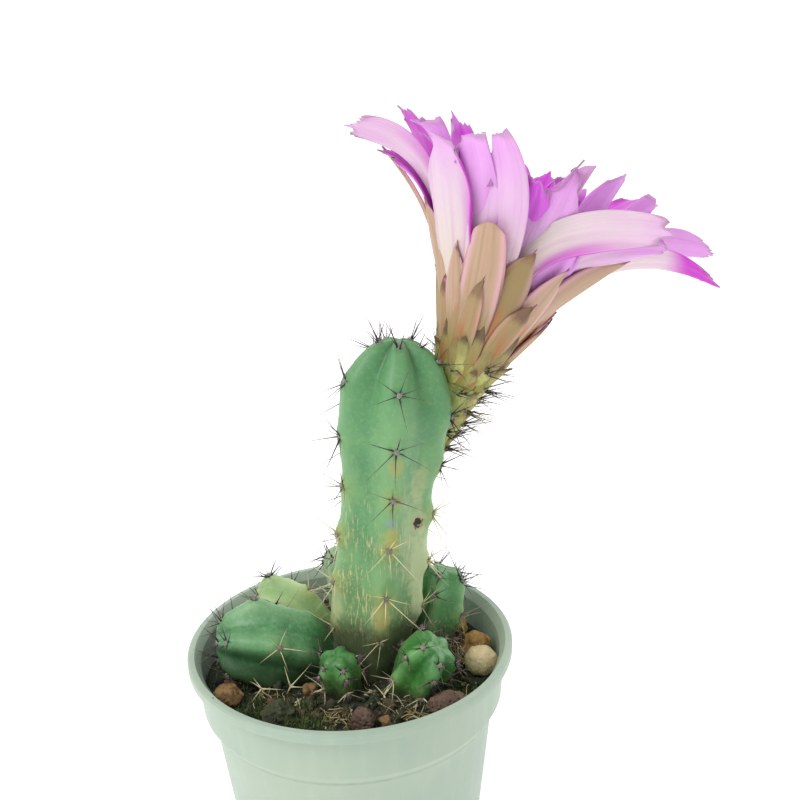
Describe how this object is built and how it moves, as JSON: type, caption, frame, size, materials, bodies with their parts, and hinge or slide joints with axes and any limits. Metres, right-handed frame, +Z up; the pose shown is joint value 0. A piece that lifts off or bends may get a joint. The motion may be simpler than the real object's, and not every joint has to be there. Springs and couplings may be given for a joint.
{
  "type": "potted flowering cactus",
  "caption": "Tall ribbed cactus with small offsets round its foot and one open funnel flower on its side, in a round tapered nursery pot filled with gritty soil.",
  "frame": {"origin": "centre of the pot's underside, on the plane it stands on", "axes": "+Z up along the pot's axis; the flower leans to +X; -Y faces the camera of the picture"},
  "size_m": [0.1385, 0.0933, 0.2094],
  "materials": {
    "pot": "satin",
    "soil": "matte",
    "stem": "satin",
    "young_stem": "satin",
    "flower_tube": "matte",
    "tepal": "satin",
    "petal": "satin",
    "stamen": "matte",
    "pistil": "satin",
    "pale_stone": "matte",
    "brown_stone": "matte",
    "lava": "matte",
    "bark": "matte"
  },
  "bodies": {
    "root": {"pot": "pot", "soil": "soil", "main_stem": "stem", "left_pup": "stem", "rear_left_pup": "stem", "rear_pup": "stem", "rear_right_pup": "stem", "front_right_pup": "young_stem", "front_pup": "young_stem", "tan_pebble": "pale_stone", "bark_chunk": "bark", "brown_stone": "brown_stone", "dark_stone": "brown_stone", "lava_right": "lava", "lava_front": "lava", "flower_tube": "flower_tube", "outer_tepals": "tepal", "petals": "petal", "stamens": "stamen", "pistil": "pistil"}
  },
  "joints": []
}
